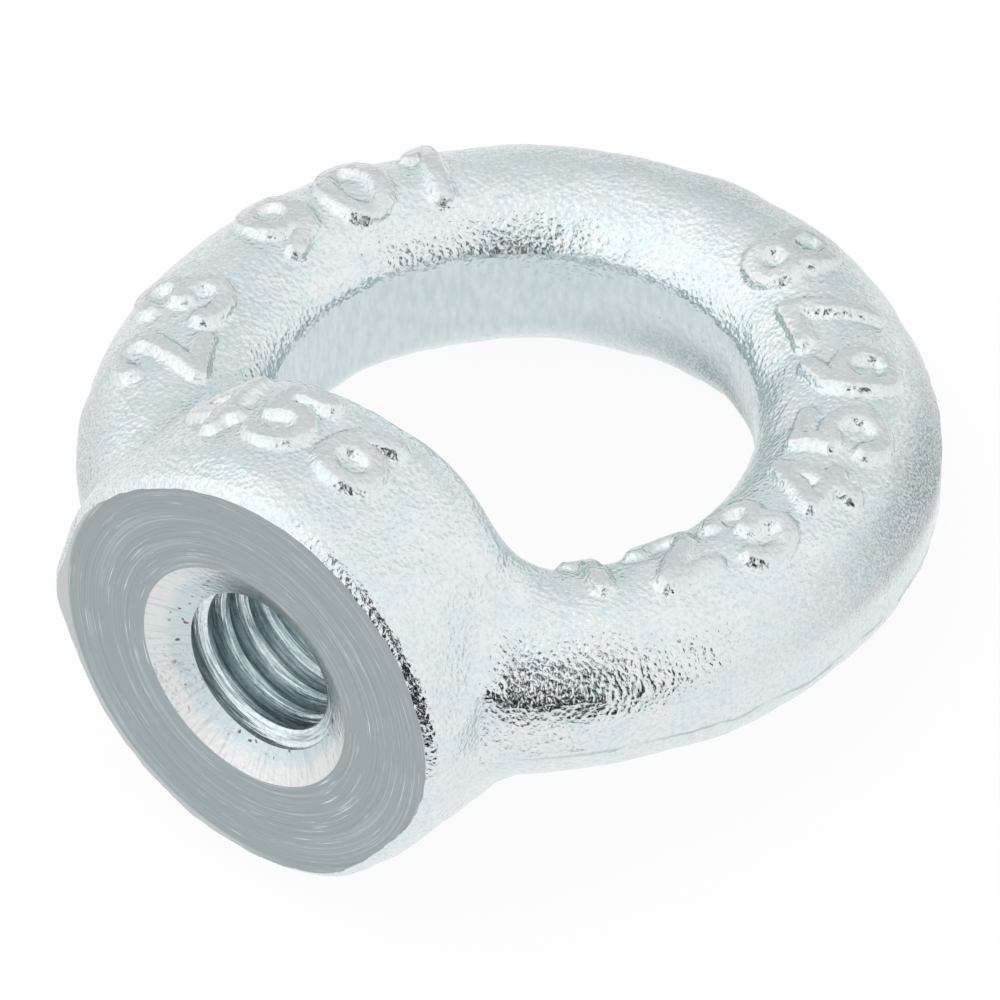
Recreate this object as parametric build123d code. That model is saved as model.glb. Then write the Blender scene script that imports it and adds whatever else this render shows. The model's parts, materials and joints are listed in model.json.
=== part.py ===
from build123d import *
import math
import os

# Lifting eye nut for an M10 stud: one drop-forged piece of steel, with a turned seat, a countersink and a tapped
# hole that runs through the boss into the eye. All sizes are in millimetres.
#
# It is shaped in the maker's frame: the thread runs along +Y from the seat at Y = 0, and the ring lies in the XY
# plane, where the two forging dies met. Each step below is a step of its making. At the end it is laid down as it
# rests on a table, on the shoulder of the boss and the crown of the ring.

# Overall sizes of the M10 eye nut
overall_height = 45.0          # from the seat to the crown of the ring
ring_outer_diameter = 45.0
ring_inner_diameter = 25.0
boss_diameter = 25.0

# Forged boss
seat_corner_radius = 0.7
boss_length = 11.2             # from the seat to the end that faces the eye
shoulder_radius = 3.4

# Forged ring: an oval section, a little wider than it will be once punched and trimmed
section_width = 10.4           # in the plane of the ring
section_depth = 10.2           # across that plane
junction_radius = 4.4          # where the boss runs out into the two legs of the ring

# Lands left by the press tools, which cut through the flash at the parting line
eye_punch_diameter = 25.5
eye_punch_shift = (-0.25, 0.25)
eye_rim_radius = 1.2           # both rims of the punched wall, rounded over for the shackle
trimming_diameter = 45.0
trimming_shift = (-0.2, 0.0)

# Tapped hole, at the size of its tapping drill
thread_drill_diameter = 8.5
countersink_diameter = 13.2
countersink_angle = 120.0      # included

# Worked out from those sizes
boss_radius = boss_diameter / 2
ring_radius = ring_outer_diameter / 2
ring_centre = (0, overall_height - ring_radius, 0)
centreline_radius = (ring_outer_diameter + ring_inner_diameter) / 4
countersink_depth = countersink_diameter / 2 / math.tan(math.radians(countersink_angle / 2))
tool_reach = 2 * overall_height    # longer than anything that a tool goes through


def forged_boss():
    """A round boss, turned about the thread axis, with a small corner at the seat and a round shoulder at the eye."""
    with BuildSketch() as half_profile:
        with BuildLine():
            seat = Line((0, 0), (boss_radius - seat_corner_radius, 0))
            corner = JernArc(seat @ 1, (1, 0), seat_corner_radius, 90)
            side = Line(corner @ 1, (boss_radius, boss_length - shoulder_radius))
            shoulder = JernArc(side @ 1, (0, 1), shoulder_radius, 90)
            Polyline(shoulder @ 1, (0, boss_length), (0, 0))
        make_face()
    return revolve(half_profile.sketch, Axis.Y)


def forged_ring():
    """The oval section carried round the eye. Its seam is turned into the boss, clear of every cut."""
    section = Plane.XZ * Pos(centreline_radius, 0, 0) * Ellipse(section_width / 2, section_depth / 2)
    return Pos(ring_centre) * Rot(0, 0, -90) * revolve(section, Axis.Z)


def forging():
    """Boss and ring as one blank, with the die's hollow radius along the whole line where they meet."""
    blank = forged_boss() + forged_ring()
    junction = blank.edges().filter_by(GeomType.BSPLINE)
    return fillet(junction, junction_radius)


def press_tool(diameter, shift):
    """A round tool that comes down square to the ring, struck off its centre by shift."""
    place = Pos(ring_centre) * Pos(*shift) * Rot(0, 0, -90)
    return place * Cylinder(diameter / 2, tool_reach)


def punched(blank):
    """The eye punched out square to the ring, with both rims of the wall that this leaves rounded over."""
    open_eye = blank - press_tool(eye_punch_diameter, eye_punch_shift)
    rims = new_edges(blank, combined=open_eye).filter_by(GeomType.BSPLINE)
    return fillet(rims, eye_rim_radius)


def trimmed(blank):
    """The flash cut from the outside of the ring, beyond the boss."""
    outside = press_tool(ring_outer_diameter + section_width, (0, 0))
    flash = outside - press_tool(trimming_diameter, trimming_shift)
    flash -= Box(boss_diameter, 2 * ring_centre[1], tool_reach)
    return blank - flash


def machined(blank):
    """The seat faced square to the thread axis, then countersunk and drilled through into the eye."""
    facing = Pos(0, -section_width / 2, 0) * Box(tool_reach, section_width, tool_reach)
    cone = Cone(countersink_diameter / 2, 0, countersink_depth)
    countersink = Pos(0, countersink_depth / 2, 0) * Rot(-90, 0, 0) * cone
    drill_length = ring_centre[1]
    drill = Pos(0, drill_length / 2, 0) * Rot(90, 0, 0) * Cylinder(thread_drill_diameter / 2, drill_length)
    return blank - facing - countersink - drill


def rest_angle():
    """Slope of the ring on a table, from the line that touches the shoulder arc and the crown's section from below."""
    run = ring_centre[1] + centreline_radius - (boss_length - shoulder_radius)
    rise = boss_radius - shoulder_radius
    swell = section_depth / 2 - shoulder_radius
    return math.degrees(math.atan2(rise, run) - math.asin(swell / math.hypot(run, rise)))


def laid_down(part):
    """The part tipped onto its two points of rest, with the table at Z = 0, the thread axis over the Y axis and
    the origin halfway along its length."""
    tipped = Rot(-rest_angle(), 0, 0) * part
    box = tipped.bounding_box()
    return Pos(0, -box.center().Y, -box.min.Z) * tipped


eye_nut = laid_down(machined(trimmed(punched(forging()))))

os.makedirs("parts", exist_ok=True)
export_step(eye_nut, "parts/eye_nut.step")
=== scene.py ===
# %% [markdown]
# # The looks of a forged lifting eye nut
#
# An eye nut screws onto a stud and gives a hook something to hold. It starts as a red-hot bar that two
# dies squeeze into a ring with a round boss. The eye is punched, the flash is trimmed away, the boss is
# faced, drilled and tapped, and the whole thing is zinc plated.
#
# The CAD part has that shape with clean surfaces. These cells give it what forging, turning and plating
# leave behind: a pebbled skin, raised figures from the die, lathe rings on the seat and a real thread
# in the bore.

# %% Load the CAD part
import json
import math
from contextlib import contextmanager

import bmesh
import bpy
import numpy as np
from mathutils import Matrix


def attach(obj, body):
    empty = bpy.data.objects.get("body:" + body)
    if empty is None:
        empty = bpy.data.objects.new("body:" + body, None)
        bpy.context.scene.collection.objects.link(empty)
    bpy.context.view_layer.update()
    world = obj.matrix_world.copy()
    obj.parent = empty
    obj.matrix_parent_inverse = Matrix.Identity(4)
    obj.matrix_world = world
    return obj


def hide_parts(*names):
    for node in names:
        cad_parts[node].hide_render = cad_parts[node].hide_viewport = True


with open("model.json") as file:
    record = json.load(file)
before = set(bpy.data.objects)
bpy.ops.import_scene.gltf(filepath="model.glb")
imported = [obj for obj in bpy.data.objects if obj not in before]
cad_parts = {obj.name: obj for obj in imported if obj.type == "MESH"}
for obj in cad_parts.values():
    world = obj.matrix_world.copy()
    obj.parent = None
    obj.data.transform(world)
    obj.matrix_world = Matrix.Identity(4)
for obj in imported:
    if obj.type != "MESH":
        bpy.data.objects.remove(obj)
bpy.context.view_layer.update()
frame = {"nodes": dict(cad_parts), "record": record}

MM = 0.001

# %% [markdown]
# ## A frame of the nut's own
#
# The nut lies tipped over on its shoulder, so its thread axis is not level. Every shape is easier to
# describe in the frame in which it was made: +Y runs along the thread from the seat to the eye, and +Z
# stands square to the ring. The record's two mounts say where that frame is: its origin is where the
# thread's axis meets the seat.

# %% Sizes and the maker's frame
SEAT_TO_EYE_CENTRE = 22.5    # all sizes in mm
RING_CENTRELINE = 17.5       # radius of the ring's middle line
RING_SECTION = 5.1           # radius of the round stock of the ring
BOSS_RADIUS = 12.5
SEAT_EDGE_RADIUS = 11.8      # where the flat seat ends and its small corner begins
BORE_RADIUS = 4.25           # crests of the thread
THREAD_PITCH = 1.5
THREAD_DEPTH = 0.82
COUNTERSINK_RADIUS = 6.6
COUNTERSINK_DEPTH = COUNTERSINK_RADIUS / math.tan(math.radians(60))

mounts = {mount["name"]: mount for mount in frame["record"]["mounts"]}
in_thread, on_seat = (np.array(mounts[name]["pos_m"]) for name in ("thread", "seat"))
outward = np.array(mounts["thread"]["axis"], float)
outward /= np.linalg.norm(outward)
origin = in_thread + outward * np.dot(on_seat - in_thread, outward)
axes = np.array([(1, 0, 0), -outward, np.cross((1, 0, 0), -outward)])
tilt = math.atan2(outward[2], -outward[1])


def to_row(points):
    """Points of the maker's frame, in mm, taken to the row's frame, in metres."""
    return origin + np.asarray(points) @ axes * MM


def to_maker(points):
    """Points of the row's frame, in metres, taken to the maker's frame, in mm."""
    return (np.asarray(points) - origin) @ axes.T / MM


print("the thread axis is tipped", round(math.degrees(tilt), 2), "degrees")

# %% [markdown]
# ## The camera
#
# The nut is shown as in a parts catalogue: from high on the right of the seat, through a long lens, so
# that the ring keeps its round shape. It comes first, because every other cell is judged through it.

# %% The camera
CAMERA_TARGET = (2.1, -2.5, 10.3)    # mm
CAMERA_DISTANCE = 709.8              # mm
CAMERA_AZIMUTH = 47.61               # degrees
CAMERA_ELEVATION = 49.54
CAMERA_ROLL = -13.53
CAMERA_LENS = 491.3                  # mm on the sensor of 36 mm


def direction(azimuth, elevation):
    """Unit vector at an azimuth, from -Y towards +X, and an elevation above the floor, both in degrees."""
    a, e = math.radians(azimuth), math.radians(elevation)
    return np.array((math.sin(a) * math.cos(e), -math.cos(a) * math.cos(e), math.sin(e)))


def looking_back(azimuth, elevation, distance, target=(0, 0, 0), roll=0):
    """The matrix of a camera or lamp that faces a target, in mm. Its Z axis points away from there, its X
    axis is level until it is rolled, and its Y axis is square to both."""
    back = direction(azimuth, elevation)
    level = np.cross((0, 0, 1), back)
    level /= np.linalg.norm(level)
    above = np.cross(back, level)
    lean = math.radians(roll)
    right = level * math.cos(lean) + above * math.sin(lean)
    up = above * math.cos(lean) - level * math.sin(lean)
    place = np.eye(4)
    place[:3, :3] = np.array((right, up, back)).T
    place[:3, 3] = (np.array(target) + back * distance) * MM
    return place.T.tolist()


def linked(name, data):
    """A new object with this data, linked to the scene."""
    made = bpy.data.objects.new(name, data)
    bpy.context.scene.collection.objects.link(made)
    return made


def make_camera():
    """The scene's camera."""
    data = bpy.data.cameras.new("camera")
    data.lens = CAMERA_LENS
    data.clip_start = 0.01
    data.clip_end = 10
    camera = linked("camera", data)
    camera.matrix_world = looking_back(
        CAMERA_AZIMUTH, CAMERA_ELEVATION, CAMERA_DISTANCE, CAMERA_TARGET, CAMERA_ROLL
    )
    bpy.context.scene.camera = camera
    return camera


print("the camera is at", [round(c / MM, 1) for c in make_camera().matrix_world.translation], "mm")

# %% [markdown]
# ## Helpers for meshes
#
# A finished shape here is always a numpy array of points and an array of faces. One function puts them
# into a mesh, one reads the points back, and one applies a modifier and keeps its result as a mesh.

# %% Mesh helpers
def mesh_object(name, points, faces, material=None):
    """An object at the origin, with its points given in the maker's frame."""
    mesh = bpy.data.meshes.new(name)
    mesh.from_pydata(to_row(points).tolist(), [], [[int(i) for i in face] for face in faces])
    if material:
        mesh.materials.append(material)
    return linked(name, mesh)


def read_points(mesh):
    """All points of a mesh as one array."""
    points = np.empty(len(mesh.vertices) * 3)
    mesh.vertices.foreach_get("co", points)
    return points.reshape(-1, 3)


def write_points(mesh, points):
    """Gives every point of a mesh a new place."""
    mesh.vertices.foreach_set("co", np.ascontiguousarray(points).ravel())
    mesh.update()


def with_modifier(piece, kind, **settings):
    """Adds a modifier with these settings and keeps its result as the mesh."""
    modifier = piece.modifiers.new(kind, kind)
    for name, value in settings.items():
        setattr(modifier, name, value)
    shown = piece.evaluated_get(bpy.context.evaluated_depsgraph_get())
    baked = bpy.data.meshes.new_from_object(shown)
    piece.modifiers.clear()
    piece.data = baked
    return piece


def grid_faces(rows, columns):
    """Quads of a grid of rows x columns points whose last column joins its first."""
    row, column = np.meshgrid(np.arange(rows - 1), np.arange(columns), indexing="ij")
    here = row * columns + column
    beside = row * columns + (column + 1) % columns
    return np.stack((here, beside, beside + columns, here + columns), -1).reshape(-1, 4)


def turned(profile, columns=96):
    """A solid of revolution about the thread axis. The profile is a list of (radius, y) from axis to axis,
    and each of its points is carried round a circle. The two ends are closed by fans."""
    profile = np.asarray(profile, float)
    angle = np.linspace(0, 2 * math.pi, columns, endpoint=False)
    radius, along = profile[1:-1, :1], profile[1:-1, 1:]
    rings = np.stack((radius * np.sin(angle), along + 0 * angle, radius * np.cos(angle)), -1)
    rings = rings.reshape(-1, 3)
    ends = np.array(((0, profile[0, 1], 0), (0, profile[-1, 1], 0)))
    first, last = len(rings), len(rings) + 1
    loop = np.arange(columns)
    beside = np.roll(loop, -1)
    top = loop + len(rings) - columns
    faces = [tuple(quad) for quad in grid_faces(len(radius), columns)]
    faces += [(first, b, a) for a, b in zip(loop, beside)]
    faces += [(last, a, b) for a, b in zip(top, np.roll(top, -1))]
    return np.vstack((rings, ends)), faces


@contextmanager
def opened(piece):
    """A piece's mesh, open for editing, which is put back at the end."""
    mesh = bmesh.new()
    mesh.from_mesh(piece.data)
    yield mesh
    mesh.to_mesh(piece.data)
    mesh.free()


def with_faces_outward(piece):
    """The piece with every face's front on its outside."""
    with opened(piece) as mesh:
        bmesh.ops.recalc_face_normals(mesh, faces=mesh.faces)
    return piece


print("a cylinder of 96 columns has", len(turned(((0, 0), (1, 0), (1, 1), (0, 1)))[1]), "faces")

# %% [markdown]
# ## The forged blank
#
# The skin needs small, even faces before it can be pebbled and carry figures. The CAD mesh has long
# thin triangles, so a merged copy of it is remeshed on a fine grid of cubes. The bore and the seat are
# stopped up for that step, as they were on the real blank before it went to the lathe, and they are cut
# again further down. Then every point is pulled back onto the CAD surface, so the remeshing costs no
# shape.

# %% Remesh the blank
SKIN_CELL = 0.30             # mm, size of the even faces
SPARE_LENGTH = 0.6           # mm of stock left on the seat for the lathe
LARGEST_PULL = 0.2           # mm, points further off are on the stopped-up places
SEAT_MARGIN = 0.08           # mm above the seat, below which points stay with the spare stock

reference = frame["nodes"]["eye_nut"].copy()
reference.data = reference.data.copy()
reference.name = "reference"
bpy.context.scene.collection.objects.link(reference)


def stopper():
    """A plug in the bore, and stock on the seat that fills the countersink. Inside the metal its profile is
    free, so it takes the simplest steps from one to the other."""
    stock = ((0, -SPARE_LENGTH), (SEAT_EDGE_RADIUS, -SPARE_LENGTH), (SEAT_EDGE_RADIUS, 0.3), (8, 2.0))
    profile = stock + ((8, 4.2), (5.2, 4.2), (5.2, 9.2), (0, 9.2))
    return with_faces_outward(mesh_object("stopper", *turned(profile)))


def forged_blank():
    """The CAD skin, closed by merging the points its faces share, joined with the stopper and remeshed."""
    with opened(reference) as mesh:
        bmesh.ops.remove_doubles(mesh, verts=mesh.verts, dist=1e-7)
    blank = reference.copy()
    blank.data = reference.data.copy()
    bpy.context.scene.collection.objects.link(blank)
    plug = stopper()
    with bpy.context.temp_override(active_object=blank, selected_editable_objects=[blank, plug]):
        bpy.ops.object.join()
    blank.name = "eye_nut_forged"
    with_modifier(blank, "REMESH", mode="VOXEL", voxel_size=SKIN_CELL * MM, adaptivity=0)
    return blank


def pulled_to_reference(piece):
    """Moves each point to the nearest place on the CAD surface, where that is close by."""
    before = read_points(piece.data)
    with_modifier(piece, "SHRINKWRAP", target=reference, wrap_method="NEAREST_SURFACEPOINT")
    after = read_points(piece.data)
    stopped_up = np.linalg.norm(after - before, axis=1) > LARGEST_PULL * MM
    stopped_up |= to_maker(before)[:, 1] < SEAT_MARGIN
    write_points(piece.data, np.where(stopped_up[:, None], before, after))
    return piece


eye_nut = forged_blank()
print("remeshed skin:", len(eye_nut.data.polygons), "quads")

# %% [markdown]
# ## Raised figures
#
# The dies had figures cut into them, so the forging carries raised ones, with soft sides. Here they are
# plain digits that stand for nothing. Each digit is a few strokes, and the height of the skin depends
# only on the distance to the nearest stroke: full height near it, then a smooth slope down. The strokes
# are drawn in a box one wide and one high, and the box is laid on the ring or on the boss.

# %% Strokes of the digits
def arc(cx, cy, rx, ry, start, end):
    """Points along a piece of an ellipse, from one angle to another, in degrees counter-clockwise."""
    angle = np.radians(np.linspace(start, end, max(3, int(abs(end - start) / 24))))
    return np.stack((cx + rx * np.cos(angle), cy + ry * np.sin(angle)), -1)


def strokes_of(digit):
    """The strokes of one digit, each a row of points in the box one wide and one high."""
    half, upper, lower = 0.5, 0.24, -0.24
    hook = np.vstack((arc(0, upper, half, 0.26, 160, -30), [(-half, -0.5)]))
    flag = [(0.42, 0.5), (-0.36, 0.5), (-0.42, 0.06)]
    belly = np.vstack((flag, arc(-0.03, -0.17, 0.5, 0.33, 130, -145)))
    back_of_six = np.vstack(([(0.3, 0.5)], arc(0.05, -0.18, 0.55, 0.6, 130, 180)))
    back_of_nine = np.vstack(([(-0.3, -0.5)], arc(-0.05, 0.18, 0.55, 0.6, -50, 0)))
    shapes = {
        0: [arc(0, 0, half, 0.5, 0, 360)],
        1: [[(-0.3, 0.28), (0.05, 0.5), (0.05, -0.5)]],
        2: [np.vstack((hook, [(half, -0.5)]))],
        3: [arc(-0.05, upper, 0.45, 0.26, 150, -90), arc(-0.05, lower, 0.55, 0.26, 90, -150)],
        4: [[(0.25, -0.5), (0.25, 0.5), (-half, -0.2), (half, -0.2)]],
        5: [belly],
        6: [back_of_six, arc(0, -0.18, half, 0.32, 0, 360)],
        7: [[(-half, 0.5), (half, 0.5), (-0.15, -0.5)]],
        8: [arc(0, upper, 0.42, 0.26, 0, 360), arc(0, lower, half, 0.26, 0, 360)],
        9: [back_of_nine, arc(0, 0.18, half, 0.32, 0, 360)],
    }
    return [np.asarray(stroke, float) for stroke in shapes[digit]]


def distance_to_strokes(points, strokes):
    """Distance from each flat point to the nearest straight bit of the strokes: the point is dropped onto
    each bit, kept between its ends, and the shortest drop counts."""
    starts = np.vstack([stroke[:-1] for stroke in strokes])
    steps = np.vstack([stroke[1:] for stroke in strokes]) - starts
    to_point = points[:, None] - starts
    share = (to_point * steps).sum(-1) / (steps * steps).sum(-1)
    drop = to_point - np.clip(share, 0, 1)[..., None] * steps
    return np.sqrt((drop * drop).sum(-1)).min(1)


print("strokes of 0 to 9:", [len(strokes_of(digit)) for digit in range(10)])

# %% [markdown]
# A digit's place is given by where its middle sits and which way is up. On the ring the two flat
# directions are the way round the eye and the way round the section. On the boss they are the way round
# the boss and along it.

# %% Places of the digits
DIGIT_HEIGHT = 4.4           # mm, between the middles of the strokes
DIGIT_WIDTH = 2.7
BOSS_DIGIT_HEIGHT = 3.9
BOSS_DIGIT_WIDTH = 2.9
STROKE_CORE = 0.30           # mm from the middle of a stroke at which it has its full height
STROKE_FOOT = 0.86           # mm from the middle of a stroke at which it has none
DIGIT_RELIEF = 0.46          # mm

# Each digit by its angle in degrees. On the ring it is counted round the eye from +X, on the boss from +Z.
RIGHT_SIDE = ((-37, 1), (-22, 2), (-7, 3), (8, 4), (23, 5), (39, 6), (55, 7), (72, 8))
UPPER_LEFT = ((171, 9), (156, 0), (142, 1))
LOWER_LEFT = ((211, 2), (196, 3))
ON_BOSS = ((-27, 4), (-7, 5), (14, 6))

# Each row on the ring: its digits, their angle round the section, and 1 if their tops face the eye, else -1
ROWS_ON_RING = ((RIGHT_SIDE, 88, 1), (UPPER_LEFT, 84, -1), (LOWER_LEFT, 77, -1))
INWARD_LEAN = 27             # degrees round the section: how much nearer the eye the right side starts
LEAN_ENDS = (-40, 5)         # degrees round the eye between which that lean dies out
RING_FIGURES_START = 9       # mm from the seat, below which a figure of the ring doesn't reach
BOSS_FIGURES_MIDDLE = 6.1    # mm from the seat
BOSS_FIGURES_END = 11


def smooth_step(low, high, value):
    """From 0 below low to 1 above high, as three times the square of the share less twice its cube."""
    share = np.clip((value - low) / (high - low), 0, 1)
    return share * share * (3 - 2 * share)


def ring_coordinates(points):
    """Angle round the eye, angle round the section and distance from the eye's centre."""
    x, y, z = points.T
    reach = np.hypot(x, y - SEAT_TO_EYE_CENTRE)
    round_eye = np.degrees(np.arctan2(y - SEAT_TO_EYE_CENTRE, x))
    round_section = np.degrees(np.arctan2(z, reach - RING_CENTRELINE))
    return round_eye, round_section, reach


def wrapped(angle):
    """The same angle, between -180 and 180 degrees."""
    return (angle + 180) % 360 - 180


def figure_height(points):
    """Height of the raised figures at each point of the skin: a smooth step down from the strokes."""
    height = np.zeros(len(points))
    round_eye, round_section, reach = ring_coordinates(points)
    round_boss = np.degrees(np.arctan2(points[:, 0], points[:, 2]))

    def press(across, up, digit, wide, tall, also):
        """Raises the points near one digit, given their two flat distances in mm from its middle."""
        near = (np.abs(across) < wide) & (np.abs(up) < tall) & also
        strokes = [stroke * (wide, tall) for stroke in strokes_of(digit)]
        away = distance_to_strokes(np.stack((across[near], up[near]), -1), strokes)
        rise = DIGIT_RELIEF * (1 - smooth_step(STROKE_CORE, STROKE_FOOT, away))
        height[near] = np.maximum(height[near], rise)

    top_half = points[:, 2] > 0
    on_ring = top_half & (points[:, 1] > RING_FIGURES_START)
    for row, middle, way_up in ROWS_ON_RING:
        for place, digit in row:
            inward = INWARD_LEAN * (1 - smooth_step(*LEAN_ENDS, place)) * (way_up > 0)
            across = way_up * np.radians(wrapped(round_eye - place)) * reach
            up = way_up * np.radians(round_section - middle - inward) * RING_SECTION
            press(across, up, digit, DIGIT_WIDTH, DIGIT_HEIGHT, on_ring)
    on_boss = top_half & (points[:, 1] < BOSS_FIGURES_END)
    up = points[:, 1] - BOSS_FIGURES_MIDDLE
    for place, digit in ON_BOSS:
        across = np.radians(wrapped(round_boss - place)) * BOSS_RADIUS
        press(across, up, digit, BOSS_DIGIT_WIDTH, BOSS_DIGIT_HEIGHT, on_boss)
    return height


def refined(piece):
    """Halves the faces near the figures, so that their slopes have enough points."""
    near = figure_height(to_maker(read_points(piece.data))) > 0
    with opened(piece) as mesh:
        edges = [edge for edge in mesh.edges if near[edge.verts[0].index] or near[edge.verts[1].index]]
        bmesh.ops.subdivide_edges(mesh, edges=edges, cuts=1, use_grid_fill=True)
    return piece


pulled_to_reference(refined(eye_nut))
print("with finer faces at the figures:", len(eye_nut.data.polygons), "faces")

# %% [markdown]
# ## The pebbled skin
#
# Scale, worn dies and trimming leave a forging slightly uneven. Broad swells come from a sum of many
# sine waves, each with its own random direction in space, so they have no seam anywhere. The
# wavelengths are real sizes, from a few millimetres down to the size of a grain of scale. Anything
# finer is bump in the material.

# %% Swells
SWELLS = ((9.0, 0.045), (4.2, 0.028), (2.0, 0.010), (1.1, 0.007))    # wavelength and height, mm
EDGE_SWELLS = ((3.2, 0.015), (1.2, 0.010))                           # the same for the border of the seat
WAVES_EACH = 14              # sine waves in one swell
chance = np.random.default_rng(7)


def swell(points, wavelength, height):
    """Sum of sine waves of about one wavelength that run in random directions."""
    ways = chance.normal(size=(WAVES_EACH, 3))
    ways /= np.linalg.norm(ways, axis=1, keepdims=True)
    rates = 2 * math.pi / (wavelength * chance.uniform(0.8, 1.25, WAVES_EACH))
    starts = chance.uniform(0, 2 * math.pi, WAVES_EACH)
    return height * np.sin(points @ (ways * rates[:, None]).T + starts).sum(1) * math.sqrt(2 / WAVES_EACH)


def bell(offset, spread):
    """1 where the offset is 0, falling off on both sides like a bell, to about a third at one spread."""
    return np.exp(-(offset / spread) ** 2)


print("swells of", [wavelength for wavelength, _ in SWELLS], "mm")

# %% [markdown]
# A bar never fills a die quite evenly. Each line below is one soft swelling or hollow. The die's corner
# at the seat had worn too, on two sides, so there the flat of the seat ends short of the boss.

# %% Swellings, hollows and the worn corner
UNEVEN_RING = (              # angle round the eye and round the section, each with a spread, and height
    ((88, 30), (-158, 26), -0.62),
    ((54, 15), (10, 50), -0.3),
    ((-20, 20), (128, 26), -0.28),
    ((222, 16), (20, 40), 0.28),
    ((26, 12), (20, 30), 0.2),
    ((-40, 16), (-75, 30), 0.15),
    ((-40, 15), (8, 9), 0.14),
)
UNEVEN_BOSS = (              # middle, spreads and height, in mm
    ((-BOSS_RADIUS, 0.8, -0.6), (3, 1.0, 2.2), 0.5),
    ((9.0, 2.5, -8.7), (4, 5, 4), -0.3),
)
UNEVEN_RING_START = 4        # mm from the seat, below which the ring's lines don't reach
WORN_CORNER = (              # angle round the thread from +X, its spread, and mm drawn in
    (116, 36, 0.62),
    (-32, 26, 0.4),
)
DRAWN_EVERYWHERE = 0.06      # mm
CORNER_FROM = 9              # mm from the thread axis


def unevenness(points):
    """Sum of the swellings and hollows, each the product of a bell in every direction."""
    round_eye, round_section, _ = ring_coordinates(points)
    height = np.zeros(len(points))
    for (place, spread), (lie, width), tall in UNEVEN_RING:
        both = bell(wrapped(round_eye - place), spread) * bell(wrapped(round_section - lie), width)
        height += tall * both * (points[:, 1] > UNEVEN_RING_START)
    for middle, spreads, tall in UNEVEN_BOSS:
        height += tall * bell(points - middle, spreads).prod(1)
    return height


def skin_height(points):
    """How far each point moves outward: swells, which are lower near the seat, figures and unevenness."""
    height = sum(swell(points, wavelength, tall) for wavelength, tall in SWELLS)
    height *= 0.35 + 0.65 * smooth_step(0.5, 2.5, points[:, 1])
    return height + figure_height(points) + unevenness(points)


def with_worn_corner(points):
    """The points, with those near the seat drawn in towards the thread axis. The draw is full at the seat
    and dies out above it, further up where it is larger."""
    radius = np.hypot(points[:, 0], points[:, 2])
    turn = np.degrees(np.arctan2(points[:, 2], points[:, 0]))
    flat = points * (1, 0, 1)
    worn = sum(most * bell(wrapped(turn - place), spread) for place, spread, most in WORN_CORNER)
    draw = DRAWN_EVERYWHERE + worn
    for wavelength, tall in EDGE_SWELLS:
        draw += swell(flat, wavelength, tall)
    draw *= (1 - smooth_step(0, 1.3 + 2 * worn, points[:, 1])) * (radius > CORNER_FROM)
    return flat * (1 - draw / np.maximum(radius, 1))[:, None] + points * (0, 1, 0)


print("swellings and hollows:", len(UNEVEN_RING) + len(UNEVEN_BOSS))

# %% [markdown]
# The trimming press gripped the outer flank of the ring and left it dull and rubbed, and the punch left
# a smoother wall inside the eye. The foot of that wall gets the same dull grey as painted shade. How much
# each is so at each point, from 0 to 1, is worked out here and kept with the mesh for its material to read.

# %% Rubbed places, painted shade and the punched wall
def rubbed_and_shaded_places(points):
    """The largest of four soft-edged places: the flank on the side of +X, the crown and the ring beside the
    boss on the other side, which are rubbed, and the foot of the punched wall, which is painted shade."""
    round_eye, round_section, reach = ring_coordinates(points)
    sideways = np.abs(round_section)
    flank = bell(round_eye - 24, 27) * smooth_step(-4, 14, round_section)
    flank *= 1 - smooth_step(34, 60, round_section)
    crown = 0.5 * bell(round_eye - 92, 34) * smooth_step(5, 40, round_section)
    crown *= 1 - smooth_step(60, 105, sideways)
    near_boss = 0.5 * bell(wrapped(round_eye - 222), 20) * (1 - smooth_step(25, 60, sideways))
    # painted shade: a dark band along the foot of the punched wall
    painted_wall_shade = bell(round_eye - 68, 30) * (1 - smooth_step(-1.9, 0.6, points[:, 2]))
    painted_wall_shade *= 1 - smooth_step(13.4, 14.6, reach)
    return np.max((flank, crown, near_boss, painted_wall_shade), axis=0)


def punched_wall(points):
    """The wall round the eye, between its rounded rims."""
    _, _, reach = ring_coordinates(points)
    return (1 - smooth_step(2.0, 3.4, np.abs(points[:, 2]))) * (1 - smooth_step(13.3, 14.2, reach))


print("punched, half up the wall:", punched_wall(np.array([(0, SEAT_TO_EYE_CENTRE + 12.7, 0)])))

# %% [markdown]
# Now every point moves: out along its normal by the height of the skin, and in at the worn corner.

# %% Move the skin
def normals_of(mesh):
    """The normal at every point of a mesh, in the row's frame."""
    normals = np.empty(len(mesh.vertices) * 3)
    mesh.vertex_normals.foreach_get("vector", normals)
    return normals.reshape(-1, 3)


def forge_skin(piece):
    """Moves the points, and says how much each lies on a figure, a rubbed place with the painted shade at
    the wall's foot, and the punched wall.
    """
    points = to_maker(read_points(piece.data))
    moved = points + (normals_of(piece.data) @ axes.T) * skin_height(points)[:, None]
    write_points(piece.data, to_row(with_worn_corner(moved)))
    return {
        "figure": figure_height(points) / DIGIT_RELIEF,
        "rub_and_shade": rubbed_and_shaded_places(points),
        "wall": punched_wall(points),
    }


places = forge_skin(eye_nut)
print("points on", {name: int((value > 0.5).sum()) for name, value in places.items()})

# %% [markdown]
# ## Materials
#
# Everything here is one metal with four finishes. The zinc is the same everywhere, and what differs is
# how the steel under it was worked, so each finish is a metal with its own grain. One small function
# adds a node, sets it and links it. The short ones after it are the steps that every finish is put
# together from.

# %% Node helpers
def linear(hex_colour):
    """A colour written as #RRGGBB, taken from sRGB to the linear values that shaders use."""
    channels = [int(hex_colour[i:i + 2], 16) / 255 for i in (1, 3, 5)]
    return tuple(c / 12.92 if c <= 0.04045 else ((c + 0.055) / 1.055) ** 2.4 for c in channels) + (1.0,)


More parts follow.
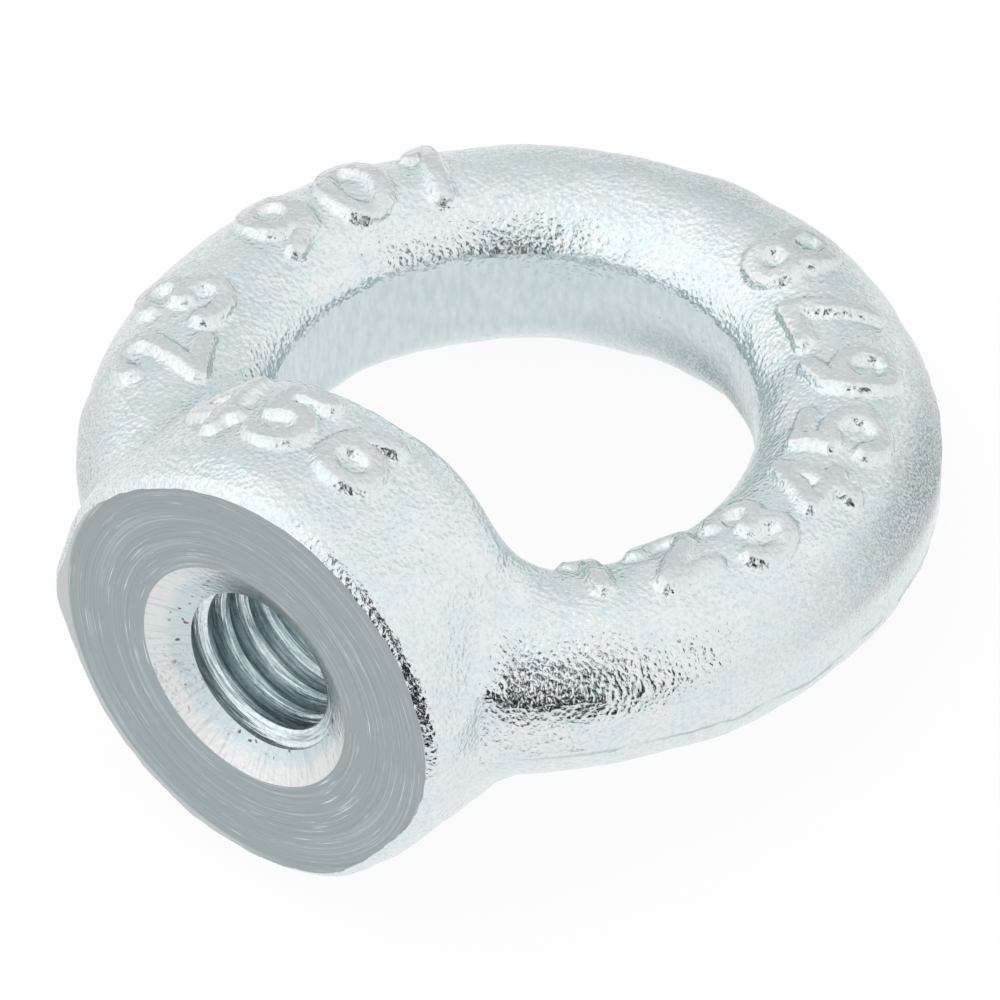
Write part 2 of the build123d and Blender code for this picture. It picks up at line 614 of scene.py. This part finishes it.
def set_inputs(tree, node, **inputs):
    """Sets inputs of a node. Each goes by its name, with _ for a space, or by i and its number, and is
    given as a value, a colour written as #RRGGBB or the output of another node."""
    for name, value in inputs.items():
        numbered = name[0] == "i" and name[1:].isdigit()
        socket = node.inputs[int(name[1:]) if numbered else name.replace("_", " ")]
        if isinstance(value, bpy.types.NodeSocket):
            tree.links.new(value, socket)
        else:
            socket.default_value = linear(value) if isinstance(value, str) else value


def add(tree, kind, settings=None, **inputs):
    """Adds a shader node, with its settings and its inputs."""
    made = tree.nodes.new("ShaderNode" + kind)
    for name, value in (settings or {}).items():
        setattr(made, name, value)
    set_inputs(tree, made, **inputs)
    return made


def worked_out(tree, operation, *values):
    """The result of one step of arithmetic."""
    inputs = {f"i{number}": value for number, value in enumerate(values)}
    return add(tree, "Math", {"operation": operation}, **inputs).outputs["Value"]


def scaled(tree, place, factors):
    """A place multiplied by one factor along each axis."""
    return add(tree, "VectorMath", {"operation": "MULTIPLY"}, i0=place, i1=factors).outputs["Vector"]


def ranged(tree, value, start, end, low=0.0, high=1.0):
    """Low where the value is at start, high where it is at end, in proportion between and level beyond."""
    made = add(tree, "MapRange", Value=value, From_Min=start, From_Max=end, To_Min=low, To_Max=high)
    return made.outputs["Result"]


def mixed(tree, share, first, second):
    """The colour at that share of the way from the first to the second."""
    return add(tree, "Mix", {"data_type": "RGBA"}, i0=share, i6=first, i7=second).outputs[2]


def per_mm(size):
    """The texture scale at which one cell of a pattern on Object coordinates is that many mm wide."""
    return 1 / (size * MM)


def noise(tree, place, size, detail=2.0, roughness=0.5):
    """Clouds from 0 to 1, each about that many mm wide, with so many doublings of finer detail."""
    made = add(tree, "TexNoise", Vector=place, Scale=per_mm(size), Detail=detail, Roughness=roughness)
    return made.outputs["Fac"]


def roughened(tree, layers, strength=1.0):
    """The normal of a surface with layers of bump, each a pattern and the mm that one unit of it rises."""
    under = {}
    for pattern, height in layers:
        made = add(tree, "Bump", Height=pattern, Distance=height * MM, Strength=strength, **under)
        under = {"Normal": made.outputs["Normal"]}
    return under["Normal"]


def new_material(name, colour, roughness, **inputs):
    """A material, its node tree and its shader, with some inputs of the shader set."""
    material = bpy.data.materials.new(name)
    material.use_nodes = True
    tree = material.node_tree
    shader = tree.nodes["Principled BSDF"]
    set_inputs(tree, shader, Base_Color=colour, Roughness=roughness, **inputs)
    return material, tree, shader


print("the grey #808080 is", round(linear("#808080")[0], 3), "to a shader")

# %% [markdown]
# ### Where a pattern lies
#
# Patterns are laid out in the maker's frame, because forging, turning and tapping all followed it.
# Object coordinates are in metres and in the row's frame, so one mapping node takes them there.

# %% Patterns in the maker's frame
def tipped_place(tree, angle):
    """Object coordinates counted from the seat's middle and turned about X, in metres."""
    place = add(tree, "TexCoord").outputs["Object"]
    settings = {"vector_type": "TEXTURE"}
    made = add(tree, "Mapping", settings, Vector=place, Location=origin, Rotation=(angle, 0, 0))
    return made.outputs["Vector"]


def maker_place(tree):
    """Object coordinates taken to the maker's frame, still in metres."""
    return tipped_place(tree, -tilt)


def polar_place(tree):
    """Radius, turn and depth of a point about the thread axis: metres, whole turns and metres. The turn is
    counted from the side of +X, where the bore hides the seam in the thread's pattern."""
    about = tipped_place(tree, math.pi / 2 - tilt)
    flat = scaled(tree, about, (-1, -1, 0))
    radius = add(tree, "VectorMath", {"operation": "LENGTH"}, i0=flat).outputs["Value"]
    turn = add(tree, "TexGradient", {"gradient_type": "RADIAL"}, Vector=flat).outputs["Fac"]
    depth = add(tree, "SeparateXYZ", Vector=about).outputs["Z"]
    return radius, turn, depth


def streaks(tree, radius, turn, width, turns, detail=2.0, depth=0.0):
    """Noise that is fine across the radius and long round the circle. Its place is the radius and the depth
    in widths of a streak, and the turn times a number of turns."""
    across = worked_out(tree, "MULTIPLY", radius, per_mm(width))
    along = worked_out(tree, "MULTIPLY", turn, turns)
    down = worked_out(tree, "MULTIPLY", depth, per_mm(width))
    place = add(tree, "CombineXYZ", X=across, Y=along, Z=down).outputs["Vector"]
    return add(tree, "TexNoise", Vector=place, Scale=1.0, Detail=detail, Roughness=0.6).outputs["Fac"]


print("patterns are tipped by", round(math.degrees(tilt), 2), "degrees")

# %% [markdown]
# ### Forged skin, zinc plated
#
# Zinc over scale-blasted steel. It reflects nearly all light, slightly blue where the plating's clear
# passivation is thick, and warmer and greyer on the crowns of the figures. Its pebbles of a third of a
# millimetre break up every reflection, which is why dark things show in it as specks. The punched wall is
# bluer, with marks drawn along it by the punch, and the rubbed places are a dull grey. The same grey at
# the foot of the punched wall, and a thin darker line under the trimmed edge, are painted shade.

# %% Forged skin
PEBBLE = 0.30                # mm, like the sizes of the other patterns
GRAIN = 0.24
CLOUD = 1.6
PUNCH_MARK = 0.35
DUST = 0.14
WANDER = 2.5
CREASE_DEPTH = 1.65          # mm below the ring's middle plane
CREASE_WIDTH = 0.14          # mm to each side
SKIN_BUMP = 0.055            # mm
CALM = 0.4                   # share of the bump that is lost on the figures and on the punched wall
LAND_BUMP = 0.4              # share of it that is left below the ring's middle plane


def clouded_zinc(tree, place, figure, grain):
    """Two tints in clouds, warmer on the crowns of the figures and darker in dips of the grain."""
    clouds = noise(tree, place, CLOUD, 4.0, 0.6)
    tinted = mixed(tree, ranged(tree, clouds, 0.36, 0.66), "#DEE9EC", "#E9ECEB")
    crowned = mixed(tree, ranged(tree, figure, 0.55, 0.95, high=0.5), tinted, "#DAD9D8")
    return mixed(tree, ranged(tree, grain, 0.55, 0.3, high=0.3), crowned, "#AEBBC0")


def punched_zinc(tree, place):
    """Bluer, with marks that are long because their place is squeezed across the plane of the ring."""
    marks = noise(tree, scaled(tree, place, (1, 1, 0.3)), PUNCH_MARK)
    return mixed(tree, ranged(tree, marks, 0.3, 0.65), "#C7D4D7", "#D4E0E2")


def painted_crease_shade(tree, place):
    """How much of a point lies in the painted shade of the thin crease under the trimmed edge. The crease
    follows one height of the maker's frame, but wanders a little, and its shade shows only where the ring
    is widest, on the side of +X."""
    wander = noise(tree, place, WANDER)
    offset = ranged(tree, wander, 0, 1, -0.5 * MM, 0.5 * MM)
    parts = add(tree, "SeparateXYZ", Vector=place).outputs
    height = worked_out(tree, "ADD", parts["Z"], offset)
    away = worked_out(tree, "ABSOLUTE", worked_out(tree, "ADD", height, CREASE_DEPTH * MM))
    broken = ranged(tree, wander, 0.4, 0.55, high=0.45)
    line = ranged(tree, away, CREASE_WIDTH * MM, 0.02 * MM, high=broken)
    outside = ranged(tree, parts["X"], 13 * MM, 17 * MM)
    return worked_out(tree, "MULTIPLY", line, outside)


def skin_bump_strength(tree, place, figure, wall):
    """Full on the upper skin, less on the figures, the punched wall and below the ring's middle plane."""
    calm = worked_out(tree, "MULTIPLY_ADD", figure, -CALM, 1.0)
    calmer = worked_out(tree, "MULTIPLY_ADD", wall, -CALM, calm)
    height = add(tree, "SeparateXYZ", Vector=place).outputs["Z"]
    land = ranged(tree, height, -0.9 * MM, 0.0, low=LAND_BUMP)
    return worked_out(tree, "MULTIPLY", calmer, land)


def forged_zinc():
    """Layers of colour from the zinc up: the punched wall, rubbed places with the painted shade at the
    wall's foot, and the painted shade of the crease. Then the bump.
    """
    material, tree, shader = new_material("zinc_plated_forged_steel", "#E2E9EB", 0.19, Metallic=1)
    place = maker_place(tree)
    attributes = [{"attribute_name": name} for name in ("figure", "rub_and_shade", "wall")]
    figure, rub_and_shade, wall = (add(tree, "Attribute", settings).outputs["Fac"] for settings in attributes)
    smooth = {"feature": "SMOOTH_F1"}
    pebbles = add(tree, "TexVoronoi", smooth, Vector=place, Scale=per_mm(PEBBLE), Smoothness=0.3)
    grain = noise(tree, place, GRAIN, roughness=0.55)
    speckled = ranged(tree, noise(tree, place, DUST), 0.35, 0.62, low=0.3)

    colour = mixed(tree, wall, clouded_zinc(tree, place, figure, grain), punched_zinc(tree, place))
    # dull grey on the rubbed places, and painted shade at the foot of the punched wall
    colour = mixed(tree, worked_out(tree, "MULTIPLY", rub_and_shade, speckled), colour, "#8D999C")
    # painted shade in the crease under the trimmed edge
    colour = mixed(tree, painted_crease_shade(tree, place), colour, "#8B8A8A")
    layers = ((pebbles.outputs["Distance"], SKIN_BUMP), (grain, SKIN_BUMP))
    normal = roughened(tree, layers, skin_bump_strength(tree, place, figure, wall))
    set_inputs(tree, shader, Base_Color=colour, Normal=normal)
    return material


skin = forged_zinc()
print("forged skin:", len(skin.node_tree.nodes), "nodes")

# %% [markdown]
# ### Turned seat
#
# A facing tool leaves rings, and a dull one leaves them broken and uneven, with torn scratches between.
# Their pattern is streaks about the thread axis. On the side of -X the edge has a pale rim, where the
# plating built up.

# %% Turned seat
LATHE_RING = 0.15            # mm between rings
SCRATCH = 0.09               # mm between scratches
SEAT_GRAIN = 0.25            # mm
RIM = (11.55, 11.72)         # mm from the thread axis: where the pale rim starts and where it is full


def turned_seat():
    """Grey, with brighter and darker rings, pale scratches over them and the rim at the edge."""
    material, tree, shader = new_material("zinc_plated_turned_steel", "#A3AEB4", 0.34, Metallic=1)
    radius, turn, _ = polar_place(tree)
    rings = streaks(tree, radius, turn, LATHE_RING, 4)
    scratches = streaks(tree, radius, turn, SCRATCH, 14, detail=3.0)
    place = maker_place(tree)
    grain = noise(tree, place, SEAT_GRAIN)
    sideways = add(tree, "SeparateXYZ", Vector=place).outputs["X"]
    most = ranged(tree, sideways, 3 * MM, -2 * MM, high=0.6)
    rim = ranged(tree, radius, RIM[0] * MM, RIM[1] * MM, high=most)

    colour = mixed(tree, ranged(tree, rings, 0.55, 0.72, high=0.4), "#A2ACAF", "#D3DBDD")
    colour = mixed(tree, ranged(tree, rings, 0.45, 0.28, high=0.45), colour, "#868F92")
    colour = mixed(tree, ranged(tree, scratches, 0.61, 0.73), colour, "#F0F4F5")
    colour = mixed(tree, rim, colour, "#DEDDDC")
    normal = roughened(tree, ((rings, 0.014), (scratches, 0.03), (grain, 0.02)))
    set_inputs(tree, shader, Base_Color=colour, Normal=normal)
    return material


seat = turned_seat()
print("turned seat:", len(seat.node_tree.nodes), "nodes")

# %% [markdown]
# ### Countersink
#
# Pale like the skin, with the short radial marks of a chattering tool. Next to the bore it is bluer,
# and a few specks of dirt have stayed there.

# %% Countersink
CHATTER_MARKS = 150          # marks in one turn
CHATTER_LENGTH = 1.6         # mm
BLUE_BAND = (5.9, 5.3)       # mm from the thread axis: where the band next to the bore starts and is full
SINK_GRAIN = 0.3             # mm
DIRT_SPOT = 0.45             # mm


def bright_countersink():
    """Chatter marks are streaks turned the other way: long across the radius and fine round the circle."""
    material, tree, shader = new_material("zinc_plated_countersink", "#E2E8EA", 0.3, Metallic=1)
    radius, turn, _ = polar_place(tree)
    inner = ranged(tree, radius, BLUE_BAND[0] * MM, BLUE_BAND[1] * MM)
    chatter = streaks(tree, radius, turn, CHATTER_LENGTH, CHATTER_MARKS)
    place = add(tree, "TexCoord").outputs["Object"]
    grain = noise(tree, place, SINK_GRAIN, detail=1.5)
    dirt = noise(tree, place, DIRT_SPOT, detail=1.0)

    colour = mixed(tree, inner, "#E2E4E3", "#CEDADD")
    colour = mixed(tree, ranged(tree, chatter, 0.5, 0.3, high=0.35), colour, "#98A4A8")
    colour = mixed(tree, ranged(tree, dirt, 0.68, 0.72, high=inner), colour, "#7C6A62")
    normal = roughened(tree, ((chatter, 0.03), (grain, 0.05)))
    set_inputs(tree, shader, Base_Color=colour, Normal=normal)
    return material


sink = bright_countersink()
print("countersink:", len(sink.node_tree.nodes), "nodes")

# %% [markdown]
# ### Thread
#
# Plating grows slowly inside a bore. Here it is bluish and cloudy, with the fine lines that the teeth
# of the tap drew along the grooves showing through.

# %% Thread finish
TAP_LINE = 0.16              # mm between the lines
THREAD_GRAIN = 0.35          # mm


def tapped_thread():
    """Streaks in all three polar directions, so that lines follow each groove on both of its flanks."""
    material, tree, shader = new_material("zinc_plated_thread", "#DCE8EA", 0.26, Metallic=1)
    radius, turn, depth = polar_place(tree)
    lines = streaks(tree, radius, turn, TAP_LINE, 7.0, depth=depth)
    grain = noise(tree, add(tree, "TexCoord").outputs["Object"], THREAD_GRAIN)

    colour = mixed(tree, ranged(tree, grain, 0.55, 0.35, high=0.3), "#E6F0F2", "#A3B4B9")
    colour = mixed(tree, ranged(tree, lines, 0.54, 0.36, high=0.75), colour, "#83979F")
    normal = roughened(tree, ((lines, 0.03), (grain, 0.02)))
    set_inputs(tree, shader, Base_Color=colour, Normal=normal)
    return material


thread = tapped_thread()
print("thread:", len(thread.node_tree.nodes), "nodes")

# %% [markdown]
# ## Machining
#
# The seat, the countersink and the thread are cut with tools shaped like the real ones, as Boolean
# differences. Each tool carries the finish that it leaves, and the Boolean hands that finish to the
# faces it cuts.

# %% Facing tool and countersink
SINK_COLUMNS = 180           # a finer circle than elsewhere, for the long border on the seat


def facing_tool():
    """A flat cutter that takes everything below the seat, out past the boss."""
    reach, thick = BOSS_RADIUS + 2, 3
    return turned(((0, -thick), (reach, -thick), (reach, 0), (0, 0)))


def countersink_tool():
    """A cone whose point lies at the countersink's depth, drawn out a little below the seat."""
    over = 0.5
    rim = COUNTERSINK_RADIUS * (1 + over / COUNTERSINK_DEPTH)
    return turned(((0, -over), (rim, -over), (0, COUNTERSINK_DEPTH)), SINK_COLUMNS)


print("countersink:", round(COUNTERSINK_DEPTH, 2), "mm deep to its point")

# %% [markdown]
# The tap is one helical surface. Its rows of points climb by one pitch in each turn, so crests and
# roots follow the helix exactly and never look jagged. Where a row has gone once round, it meets the
# row one pitch further up.

# %% Tap
SAMPLES_PER_PITCH = 10
TAP_COLUMNS = 96             # points in one turn


def tap_faces(rows):
    """Quads between the rows. Beside the last column is the first column of the row one pitch further up,
    and quads that would reach past the last row are left out."""
    row, column = np.meshgrid(np.arange(rows - 1), np.arange(TAP_COLUMNS), indexing="ij")
    whole = (column < TAP_COLUMNS - 1) | (row < rows - 1 - SAMPLES_PER_PITCH)
    row, column = row[whole], column[whole]
    here = row * TAP_COLUMNS + column
    beside = np.where(column < TAP_COLUMNS - 1, here + 1, (row + SAMPLES_PER_PITCH) * TAP_COLUMNS)
    return np.stack((here, beside, beside + TAP_COLUMNS, here + TAP_COLUMNS), -1)


def tap_ends(rows):
    """The loop of points round each open end: a whole row, and the step of one pitch back to its start."""
    row = np.arange(TAP_COLUMNS)
    step = np.arange(1, SAMPLES_PER_PITCH + 1) * TAP_COLUMNS
    start = np.concatenate((row, step[::-1]))
    end = (rows - 1) * TAP_COLUMNS + np.concatenate((row, TAP_COLUMNS - 1 - step))
    return start, end


def tap_tool(first=-3.2, last=13.3):
    """A core with a ridge wound round it. A point's share of the pitch gives its radius: flat crest, flank,
    flat root, flank. Its height in pitches is that share plus the turn, so each row is a helix."""
    turns = round((last - first) / THREAD_PITCH)
    share = np.arange(turns * SAMPLES_PER_PITCH + 1) / SAMPLES_PER_PITCH
    angle = np.linspace(0, 2 * math.pi, TAP_COLUMNS, endpoint=False)
    wave = np.abs((share % 1) - 0.5) * 2
    radius = BORE_RADIUS + THREAD_DEPTH * (1 - smooth_step(0.2, 0.82, wave))
    along = first + (share[:, None] + angle / (2 * math.pi)) * THREAD_PITCH
    rows = np.stack((radius[:, None] * np.sin(angle), along, radius[:, None] * np.cos(angle)), -1)
    centres = ((0, first + THREAD_PITCH / 2, 0), (0, last + THREAD_PITCH / 2, 0))
    points = np.vstack((rows.reshape(-1, 3), centres))
    faces = [tuple(quad) for quad in tap_faces(len(share))]
    start, end = tap_ends(len(share))
    faces += [(len(points) - 2, a, b) for a, b in zip(start, np.roll(start, -1))]
    faces += [(len(points) - 1, a, b) for a, b in zip(end, np.roll(end, -1))]
    return points, faces


print("the tap has", len(tap_tool()[1]), "faces")

# %% [markdown]
# The order of the cuts is that of the lathe: face, countersink, tap. The values worked out for the skin
# go onto its points first, so that they survive the cuts. Shading is smooth, except at real edges.

# %% Cut the nut
SHARP_ANGLE = 35             # degrees


def cut(piece, name, shape, material):
    """Takes a tool's shape out of the piece and leaves the tool's finish on the cut faces."""
    tool = with_faces_outward(mesh_object(name, *shape, material))
    with_modifier(
        piece, "BOOLEAN", object=tool, operation="DIFFERENCE", solver="EXACT", material_mode="TRANSFER"
    )
    bpy.data.objects.remove(tool)
    print("after the", name, "the nut has", len(piece.data.polygons), "faces")


def store(mesh, name, values):
    """Keeps one value for each point in the mesh, for a material to read."""
    attribute = mesh.attributes.new(name, "FLOAT", "POINT")
    attribute.data.foreach_set("value", values.astype(np.float32))


def with_sharp_borders(piece, angle):
    """Smooth shading, but not across edges steeper than an angle, nor where one finish meets another."""
    piece.data.shade_smooth()
    piece.data.set_sharp_from_angle(angle=angle)
    with opened(piece) as mesh:
        for edge in mesh.edges:
            if len({face.material_index for face in edge.link_faces}) > 1:
                edge.smooth = False


eye_nut.data.materials.clear()
eye_nut.data.materials.append(skin)
for name, values in places.items():
    store(eye_nut.data, name, values)
cut(eye_nut, "facing_tool", facing_tool(), seat)
cut(eye_nut, "countersink", countersink_tool(), sink)
cut(eye_nut, "tap", tap_tool(), thread)
with_sharp_borders(eye_nut, math.radians(SHARP_ANGLE))

# %% [markdown]
# ## Into the frame
#
# The finished nut stands for the CAD node and rides on the one body there is.

# %% Ride and replace
bpy.data.objects.remove(reference)
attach(eye_nut, "root")
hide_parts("eye_nut")
eye_nut.data.calc_loop_triangles()
print("triangles:", len(eye_nut.data.loop_triangles))

# %% [markdown]
# ## Studio
#
# A pale floor, an even white surround and one large soft lamp. The floor is white paper, and the eye
# and the metal see it as partly lit from below, so its shadow stays but is faint.

# %% Floor
FLOOR_REACH = 3000           # mm
FLOOR_GLOW = 0.9             # share of the floor's light that comes from below


def flat_mesh(name, corners, material):
    """One flat face between four corners, in mm. It belongs to the stage, not to the part."""
    mesh = bpy.data.meshes.new(name)
    mesh.from_pydata((np.array(corners) * MM).tolist(), [], [(0, 1, 2, 3)])
    mesh.materials.append(material)
    made = linked(name, mesh)
    return made


def plain(name, colour):
    """A dull material of one colour, with no shine."""
    return new_material(name, colour, 0.9, Specular_IOR_Level=0)[0]


def lit_floor():
    """Paper mixed with an even glow, for the camera's rays and those that come off or through something."""
    material = plain("white_floor", "#FFFFFF")
    tree = material.node_tree
    glow = add(tree, "Emission", Color="#FFFFFF", Strength=1.0).outputs["Emission"]
    path = add(tree, "LightPath").outputs
    shown = worked_out(tree, "MAXIMUM", path["Is Camera Ray"], path["Is Glossy Ray"])
    seen = worked_out(tree, "MAXIMUM", shown, path["Is Transmission Ray"])
    share = worked_out(tree, "MULTIPLY", seen, FLOOR_GLOW)
    paper = tree.nodes["Principled BSDF"].outputs["BSDF"]
    both = add(tree, "MixShader", i0=share, i1=paper, i2=glow).outputs["Shader"]
    set_inputs(tree, tree.nodes["Material Output"], Surface=both)
    return material


corners = np.array(((-1, -1, 0), (1, -1, 0), (1, 1, 0), (-1, 1, 0))) * FLOOR_REACH
flat_mesh("floor", corners, lit_floor())
print("the floor is", 2 * FLOOR_REACH * MM, "m wide")

# %% [markdown]
# Bright metal shows whatever stands round it, so the studio also has a few cards that are seen only in
# reflections. The dark ones stand on the camera's side, and a dark runner on the floor leads from them
# to the nut: they give the skin its dark specks and its one dark patch. The pale ones stand behind the
# nut.

# %% Cards and runner
CARD_DISTANCE = 600          # mm
DARK = "#181B1E"
CARDS = (                    # name, azimuth, half its width, bottom and top in degrees, colour
    ("dark_card", 50, 13, 0, 58, DARK),
    ("low_dark_card", 31, 6, 0, 20, DARK),
    ("grey_card", 50, 13, 58, 65, "#72777A"),
    ("far_card", -150, 50, 0, 24, "#DDE0E0"),
    ("upper_far_card", -150, 50, 24, 42, "#ECEEEE"),
)
RUNNER_AZIMUTH = 46
RUNNER_HALF_WIDTH = 17       # degrees
RUNNER_START = 62            # mm from the nut's middle
RUNNER_LIFT = 0.2            # mm above the floor


def only_reflected(card):
    """Hides a card from the camera and keeps it from shading anything."""
    card.visible_camera = False
    card.visible_diffuse = False
    card.visible_shadow = False


def make_card(name, azimuth, half_width, bottom, top, colour):
    """An upright card across one azimuth that reaches from one angle above the floor to another."""
    left = direction(azimuth - half_width, 0) * CARD_DISTANCE
    right = direction(azimuth + half_width, 0) * CARD_DISTANCE
    low, high = np.multiply.outer(CARD_DISTANCE * np.tan(np.radians((bottom, top))), (0, 0, 1))
    corners = (left + low, right + low, right + high, left + high)
    only_reflected(flat_mesh(name, corners, plain(name, colour)))


def make_runner():
    """A dark strip on the floor that runs from near the nut to the foot of the dark card."""
    left, right = (direction(RUNNER_AZIMUTH + side * RUNNER_HALF_WIDTH, 0) for side in (-1, 1))
    near = (left * RUNNER_START, right * RUNNER_START)
    far = (right * CARD_DISTANCE, left * CARD_DISTANCE)
    corners = np.array(near + far) + (0, 0, RUNNER_LIFT)
    only_reflected(flat_mesh("dark_runner", corners, plain("dark_runner", DARK)))


for card in CARDS:
    make_card(*card)
make_runner()
print("cards:", [card[0] for card in CARDS])

# %% [markdown]
# The surround gives nearly all the light. The lamp stands high on the left of the seat. It is wider
# than it is far away, so it lifts that side a little and draws no hard shadow.

# %% World and lamp
WORLD_STRENGTH = 1.03
LAMP_AZIMUTH = -50
LAMP_ELEVATION = 50
LAMP_DISTANCE = 900          # mm
LAMP_SIZE = 1500             # mm
LAMP_POWER = 1.0             # W


def make_world():
    """Even white from every side."""
    world = bpy.data.worlds.new("studio")
    world.use_nodes = True
    tree = world.node_tree
    set_inputs(tree, tree.nodes["Background"], Color="#FFFFFF", Strength=WORLD_STRENGTH)
    bpy.context.scene.world = world


def make_lamp():
    """A round soft lamp that faces the nut."""
    data = bpy.data.lights.new("softbox", "AREA")
    data.shape = "DISK"
    data.size = LAMP_SIZE * MM
    data.energy = LAMP_POWER
    lamp = linked("softbox", data)
    lamp.matrix_world = looking_back(LAMP_AZIMUTH, LAMP_ELEVATION, LAMP_DISTANCE)
    return lamp


make_world()
print("the lamp is at", [round(c / MM, 1) for c in make_lamp().matrix_world.translation], "mm")
bpy.context.scene.view_settings.view_transform = "Standard"
